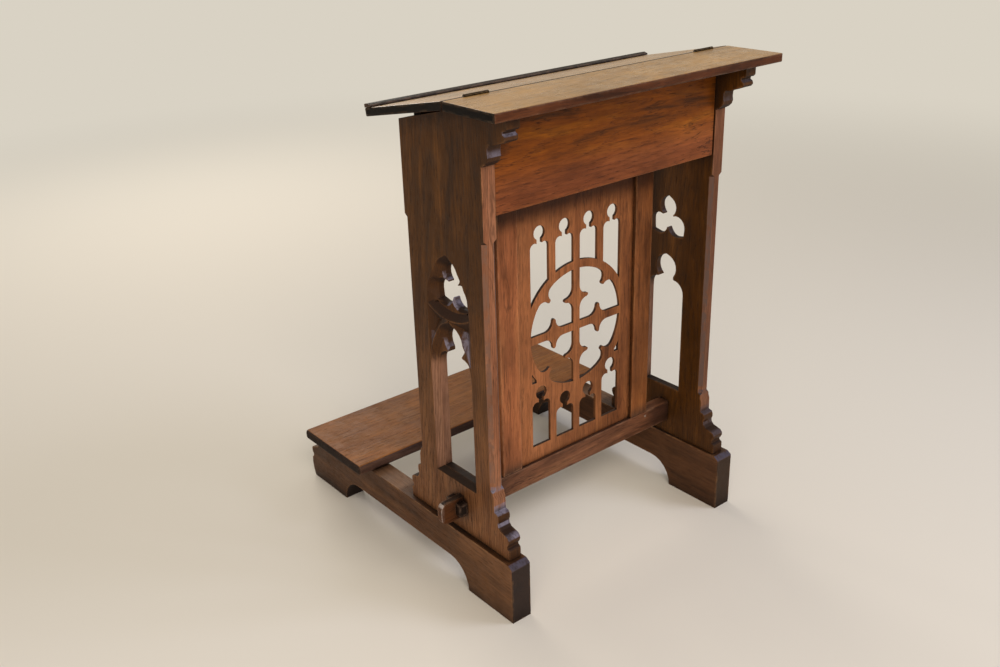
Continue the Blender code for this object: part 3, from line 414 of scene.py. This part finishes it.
RAIL_TONES = ("36200F", "50321C", "603F26", "98704C")
TREAD = [((0.02, 0.05), (0.36, 0.2), 0.015)]
KICKED = [((-0.4, -0.1), (-0.2, 0.2), 0.16)]
# The dark ends are real end-grain stain; the left end's cooler tone also holds a little painted
# reflection.
END_TONES = {"left": "25201F", "right": "33281F"}
# Painted grey sheen on the toe's sloped face, a painted reflection.
TOE_SHEEN = "4A4450"
TOE_SLOPE = [((-0.31, 0.1035), (-0.295, 0.12), 0.002)]
UP = (0, 0, 1)
OUTWARD = {"left": (-1, 0, 0), "right": (1, 0, 0)}
for side, heart in (("left", (-0.20, 0, 0.12)), ("right", (0.17, 0, -0.05))):
    rail_oak = waxed_oak("waxed oak of the " + side + " rail", "Y", heart, (1.2, -0.8), RAIL_TONES,
                         figure=0.18, streaks=0.15, reach=0.045, dirt_and_shade=1.0, end_tone=END_TONES[side],
                         painted_sheen=[(TOE_SHEEN, -0.2, TOE_SLOPE)],
                         rubs_and_painted_light=[(UP, "5F4029", "785840", 0.75, TREAD),
                                 (OUTWARD[side], "573821", "6C482C", 0.8, KICKED)])
    fitted("base_rail_" + side, RAIL_EASE, "stand", rail_oak)


# Side boards: thick oak ends cut to a scrolled foot, a stepped corbel and stopped chamfers. The Gothic
# window is carved in from the outside and pierced with a fret saw. Stain and wax leave the faces dark
# and the carved faces darker, with painted shade deepest in the hollows.
# Ledges, cusp tips and chamfers carry a painted grey sheen. The front edge is redder and lighter,
# partly worn and partly painted light; the jambs are painted light, and the outer face is painted
# lighter towards the floor.
BOARD_EASE = 0.0006
BOARD_TONES = ("321C08", "462808", "5D3812", "A07048")
FRONT = (0, -1, 0)
FRONT_EDGE = [((-0.31, 0.195), (-0.215, 0.757), 0.006)]
# Front edges: partly worn and partly painted light from the front; the left board's lighter pair holds
# more painted light.
LIT_AND_RUBBED_EDGES = {"left": ("7E4E34", "96664A"), "right": ("6A4029", "7C523A")}
# Jambs: painted lighter and redder, painted light from the front.
JAMB = [((-0.215, 0.21), (-0.09, 0.395), 0.03)]
# Outer faces: painted lighter towards the floor, painted light.
LOWER_OUTER_LIGHT = [((-0.35, -0.1), (0.1, 0.12), 0.5)]
# Carved faces: darker stain and painted shade, the shade deepest in the hollows.
CARVED_AND_SHADED = "3C261A"
CHAMFER = [((-0.31, 0.24), (-0.23, 0.675), 0.004)]
# Painted grey sheens, painted reflections, on the chamfer, the ledges and the cusp tips; the left
# board's are lighter.
CHAMFER_SHEEN = {"left": "6E5244", "right": "5A463E"}
FACET_SHEEN = {"left": "76707E", "right": "4C4042"}
LEDGES = [((-0.257, 0.222), (-0.245, 0.230), 0.002), ((-0.275, 0.184), (-0.25, 0.197), 0.002),
          ((-0.28, 0.163), (-0.255, 0.172), 0.002), ((-0.30, 0.149), (-0.27, 0.154), 0.002),
          ((-0.33, 0.808), (-0.29, 0.816), 0.002), ((-0.29, 0.772), (-0.262, 0.784), 0.002)]
CUSP_TIPS = [((-0.165, 0.508), (-0.14, 0.56), 0.003), ((-0.135, 0.548), (-0.105, 0.595), 0.003),
             ((-0.14, 0.432), (-0.105, 0.458), 0.003), ((-0.22, 0.43), (-0.185, 0.48), 0.003)]
for side, heart in (("left", (-0.11, -0.13, 0.4)), ("right", (0.33, -0.20, 0.4))):
    board_oak = waxed_oak("waxed oak of the " + side + " board", "Z", heart, (1.5, 2.0), BOARD_TONES,
                          figure=0.4, wear=0.3, reach=0.035, dirt_and_shade=1.0,
                          carved=("X", CARVED_AND_SHADED, FRONT_EDGE + JAMB),
                          painted_sheen=[(FACET_SHEEN[side], -0.2, LEDGES), (FACET_SHEEN[side], 0.25, CUSP_TIPS),
                                 (CHAMFER_SHEEN[side], 0.0, CHAMFER)],
                          rubs_and_painted_light=[(FRONT, *LIT_AND_RUBBED_EDGES[side], 0.45, FRONT_EDGE),
                                  (FRONT, "6E4A38", "8A644E", 0.45, JAMB),
                                  (OUTWARD[side], "643E24", "7E5434", 0.8, LOWER_OUTER_LIGHT)])
    fitted("side_board_" + side, BOARD_EASE, "stand", board_oak)


# Stretcher: an oak rail low across the front, whose two rounded tenons run through the side boards.
# Its wax is red brown in the middle and darker towards the boards, a painted shade in those corners. A
# painted pale highlight lies on the tips of the tenons, which are nearly black on top.
STRETCHER_EASE = 0.0011
STRETCHER_TONES = ("3A2214", "6B442E", "865A3C", "8E6C54")
TENONS = [((-0.35, 0), (-0.2632, 1), 0.0005), ((0.2632, 0), (0.35, 1), 0.0005)]
# Ends by the boards: painted shade in the corners.
CORNERS = [((-0.25, 0), (-0.195, 1), 0.035), ((0.2, 0), (0.25, 1), 0.035)]
TENON_TIPS = [((-0.31, 0), (-0.3035, 1), 0.0008), ((0.3035, 0), (0.31, 1), 0.0008)]
# Painted pale highlight on the tenon tips.
TIP_HIGHLIGHT = "A2968F"
stretcher_oak = waxed_oak("waxed oak of the stretcher", "X", (0, -0.04, 0.18), (0.6, 1.0),
                          STRETCHER_TONES, streaks=0.6, end=0.3, reach=0.035, dirt_and_shade=1.0, axes="XZ",
                          painted_sheen=[(TIP_HIGHLIGHT, -0.1, TENON_TIPS)],
                          rubs_and_painted_light=[(FRONT, "41291D", "523528", 0.8, CORNERS),
                                  (UP, "1C130D", "2C2019", 0.4, TENONS),
                                  (FRONT, "4E2E1A", "5E3820", 0.8, TENONS)])
fitted("stretcher", STRETCHER_EASE, "stand", stretcher_oak)


# Nail head: the low dome of an iron nail, driven into the stretcher's front under the right stile.
# Passing shoes and cloths keep it bright, so it shows as one pale point on the wood.
NAIL_RADIUS = 0.0022
NAIL_RISE = 0.0009
NAIL_SPOT = Vector((0.1735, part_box("stretcher")[0][1], 0.1705))
NAIL_TONES = ("B8A898", "8A7C70")
TARNISH = 320         # spots of tarnish about 3 mm wide
TARNISH_DEPTH = 0.0001


def old_metal(name, tones, rough):
    """Old iron or brass: brighter where it is rubbed, dull and brown where tarnish lies in spots."""
    bright, dark = [colour(code) for code in tones]
    material = bpy.data.materials.new(name)
    material.use_nodes = True
    tree = material.node_tree
    metal = tree.nodes["Principled BSDF"]
    metal.inputs["Metallic"].default_value = 1
    place = node(tree, "TexCoord", out="Object")
    stain = node(tree, "TexNoise", {"Vector": place, "Scale": TARNISH, "Detail": 5, "Roughness": 0.7})
    spots = node(tree, "MapRange", {"Value": stain, "From Min": 0.4, "From Max": 0.62})
    tone = node(tree, "Mix", {0: spots, 6: bright, 7: dark}, out=2, data_type="RGBA")
    tree.links.new(tone, metal.inputs["Base Color"])
    dull = node(tree, "MapRange", {"Value": stain, "To Min": rough - 0.12, "To Max": rough + 0.2})
    tree.links.new(dull, metal.inputs["Roughness"])
    relief = node(tree, "Bump", {"Height": stain, "Strength": 0.3, "Distance": TARNISH_DEPTH})
    tree.links.new(relief, metal.inputs["Normal"])
    return material


nail_mesh = bpy.data.meshes.new("nail_head")
work = bmesh.new()
dome = bmesh.ops.create_uvsphere(work, u_segments=20, v_segments=12, radius=NAIL_RADIUS)
bmesh.ops.scale(work, verts=dome["verts"], vec=(1, NAIL_RISE / NAIL_RADIUS, 1))
bmesh.ops.translate(work, verts=dome["verts"], vec=NAIL_SPOT)
for face in work.faces:
    face.smooth = True
work.to_mesh(nail_mesh)
work.free()
nail = bpy.data.objects.new("nail_head", nail_mesh)
nail_mesh.materials.append(old_metal("bright nail head", NAIL_TONES, rough=0.4))
bpy.context.scene.collection.objects.link(nail)
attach(nail, "stand")


# Wedges: a small oak key is driven across each tenon outside the board, to draw the frame tight.
# They are stained nearly black, and their pale arrises are partly wear from hammering and handling and
# partly a painted glint.
WEDGE_EASE = 0.0008
WEDGE_TONES = ("17100C", "2A1E18", "3A2B24", "7A6252")
wedge_oak = waxed_oak("dark waxed oak of the wedges", "Y", (0.1, 0, 0.2), (2, 1), WEDGE_TONES,
                      wear=0.9)
for side in ("left", "right"):
    fitted("wedge_" + side, WEDGE_EASE, "stand", wedge_oak)


# Traceried front: two oak uprights grooved on their inner edges, and the thin board between them, which
# is pierced with a fret saw to a ring of trefoils over and under rows of round-headed lights. Its left
# is painted a lighter warm tan, painted light from the left front.
# The saw cuts are stained dark with painted shade deepest in them, and painted shade darkens the feet
# and the top under the apron.
STILE_EASE = 0.0009
PANEL_EASE = 0.0005
# Painted shade under the apron and at the feet of the stiles and panel.
UNDER_APRON = [((-1, 0.64), (1, 0.8), 0.03)]
FEET = [((-1, 0.1), (1, 0.178), 0.03)]
SHADED = (FRONT, "3E2212", "4E2C18", 0.8, UNDER_APRON)
SHADED_FEET = (FRONT, "432C1E", "523828", 0.8, FEET)
# The left stile's lighter tones are partly painted light from the left, and the right's deeper ones
# partly painted shade.
STILE_TONES = {"left": ("6E3E22", "955936", "AA6B41", "C8946A"),
               "right": ("4C2A14", "7B4926", "8E5930", "AE7C50")}
PANEL_TONES = ("4E2A16", "7C4A29", "905A32", "B07A50")
# Saw cuts: darker stain and painted shade, deepest in the hollows.
SAWN_AND_SHADED = "1C110B"
# Painted light: the panel's left is painted lighter, light from the left front.
LIT_LEFT = [((-0.4, 0.1), (-0.15, 1.0), 0.27)]
for side, heart in (("left", (-0.25, -0.06, 0.4)), ("right", (0.28, -0.08, 0.4))):
    stile_oak = waxed_oak("waxed oak of the " + side + " stile", "Z", heart, (0.8, 1.4),
                          STILE_TONES[side], ring=2.2, wear=0.3, reach=0.045, dirt_and_shade=0.95,
                          rubs_and_painted_light=[SHADED, SHADED_FEET])
    fitted("stile_" + side, STILE_EASE, "stand", stile_oak)
panel_oak = waxed_oak("waxed oak of the pierced panel", "Z", (0.16, 0.02, 0.4), (1.4, 2.2),
                      PANEL_TONES, ring=2.4, wear=0.15, reach=0.045, dirt_and_shade=0.95, axes="XZ",
                      carved=("Y", SAWN_AND_SHADED), rubs_and_painted_light=[(FRONT, "925934", "A46840", 0.8, LIT_LEFT), SHADED])
fitted("tracery_panel", PANEL_EASE, "stand", panel_oak)


# Apron: a wide flat-sawn oak board let in between the side boards, under the fixed top.
# Its wax glows orange, with broad figure and dark lines along it, and a duller, darker and redder
# band runs along its lower edge.
APRON_EASE = 0.0008
APRON_TONES = ("44240A", "753C08", "8C500C", "AC7240")
LOWER_EDGE_BAND = [((-0.4, 0.6), (0.4, 0.7), 0.06)]
apron_oak = waxed_oak("waxed flat-sawn oak of the apron", "X", (0, -0.09, 0.775), (1.6, 2.2),
                      APRON_TONES, ring=4.0, streaks=0.6, figure=0.22, wear=0.3, reach=0.03, axes="XZ",
                      rubs_and_painted_light=[(FRONT, "653419", "7E4524", 0.8, LOWER_EDGE_BAND)])
fitted("apron", APRON_EASE, "stand", apron_oak)


# Book well: two plain oak boards nailed up behind the apron, which hold prayer books under the lid.
# Little light or handling reaches them, so they are an even dull brown.
WELL_EASE = 0.0007
WELL_TONES = ("2A1A10", "4A3022", "5E4230", "8E6A4C")
well_oak = waxed_oak("plain oak of the book well", "X", (0, -0.05, 0.55), (1, 1), WELL_TONES,
                     wear=0.3)
for name in ("well_bottom", "well_back"):
    fitted(name, WELL_EASE, "stand", well_oak)


# Desk: the fixed top board and the sloping lid, thin oak boards stained dark at their edges.
# Hands and books have polished their upper faces; their golden tan is partly wear and partly painted
# sheen, and their gloss makes them pale with light along them.
DESK_EASE = 0.0008
TOP_TONES = ("2A160C", "4E2A17", "62381F", "8A7058")
EVERYWHERE = [((-1, 0), (1, 1), 0.1)]
JOINT = (-0.2178, -0.2126)
JOINT_ZONE = [((JOINT[0], 0), (JOINT[1], 1), 0.0001)]
# The upper faces' golden tan is partly wear and partly painted sheen; the joint's arrises stay dark.
WORN_AND_SHEEN_TOP = [(UP, "9B6F30", "AF8240", 0.75, EVERYWHERE), (UP, "160D08", "160D08", 0.3, JOINT_ZONE)]
DESK_WOOD = {"figure": 0.1, "streaks": 0.12, "wear": 0.35, "rubs_and_painted_light": WORN_AND_SHEEN_TOP}
DESK_END = "0C0705"
UPPER_FACE = 0.8
for name, body, heart, lean in (("top_board", "stand", (0, -0.24, 0.70), (0.5, 1.5)),
                                ("lid", "lid", (0, -0.12, 0.66), (0.8, 1.2))):
    edge_oak = waxed_oak("dark stained oak edge of the " + name, "X", heart, lean, TOP_TONES,
                         gloss=0.36, shine=0.1, end=1.0, end_tone=DESK_END, **DESK_WOOD)
    face_oak = waxed_oak("polished oak face of the " + name, "X", heart, lean, TOP_TONES,
                         gloss=0.3, shine=0.42, **DESK_WOOD)
    board = fitted(name, DESK_EASE, body, edge_oak)
    board.data.materials.append(face_oak)
    # The arrises at the joint stay dark, so the polished face stops short of them
    work = bmesh.new()
    work.from_mesh(board.data)
    for line in JOINT:
        bmesh.ops.bisect_plane(work, geom=work.verts[:] + work.edges[:] + work.faces[:],
                               dist=MERGE / 10, plane_co=(0, line, 0), plane_no=(0, 1, 0))
    for face in work.faces:
        at_joint = JOINT[0] < face.calc_center_median().y < JOINT[1]
        face.material_index = int(face.normal.z > UPPER_FACE and not at_joint)
    work.to_mesh(board.data)
    work.free()


# Book stop: a low oak strip glued along the lid's lower edge, which keeps the book from sliding.
# It is stained as dark as the wedges and shows as a thin dark line against the polished lid.
STOP_EASE = 0.0008
stop_oak = waxed_oak("dark waxed oak of the book stop", "X", (0, 0.05, 0.70), (1, 1), WEDGE_TONES)
fitted("book_stop", STOP_EASE, "lid", stop_oak)


# Kneeler: an oak plank with rounded edges, nailed down across both rails.
# Knees and shoes have worn its upper face to a soft tan, and its edges and underside stay dark.
KNEELER_EASE = 0.0008
KNEELER_TONES = ("241812", "43302A", "563E32", "8A6A50")
kneeler_oak = waxed_oak("worn waxed oak of the kneeler", "X", (0, 0.19, 0.0), (0.8, 0.6),
                        KNEELER_TONES, gloss=0.42, figure=0.08, streaks=0.08, shine=0.1,
                        rubs_and_painted_light=[(UP, "7E4A1D", "8B5727", 0.75, EVERYWHERE)])
fitted("kneeler", KNEELER_EASE, "stand", kneeler_oak)


# Butt hinges: pressed brass leaves on a steel pin, let into the meeting edges of the top and the lid.
# Tarnish has turned the brass a dull dark brown, and the pin keeps a little of its grey shine.
HINGE_EASE = 0.00015
BRASS_TONES = ("43331F", "2A1F15")
STEEL_TONES = ("7A7670", "4A423A")
brass = old_metal("tarnished brass", BRASS_TONES, rough=0.42)
steel = old_metal("dull steel", STEEL_TONES, rough=0.4)
for side in ("left", "right"):
    fitted("hinge_leaf_fixed_" + side, HINGE_EASE, "stand", brass)
    fitted("hinge_leaf_lid_" + side, HINGE_EASE, "lid", brass)
    fitted("hinge_pin_" + side, HINGE_EASE, "stand", steel)
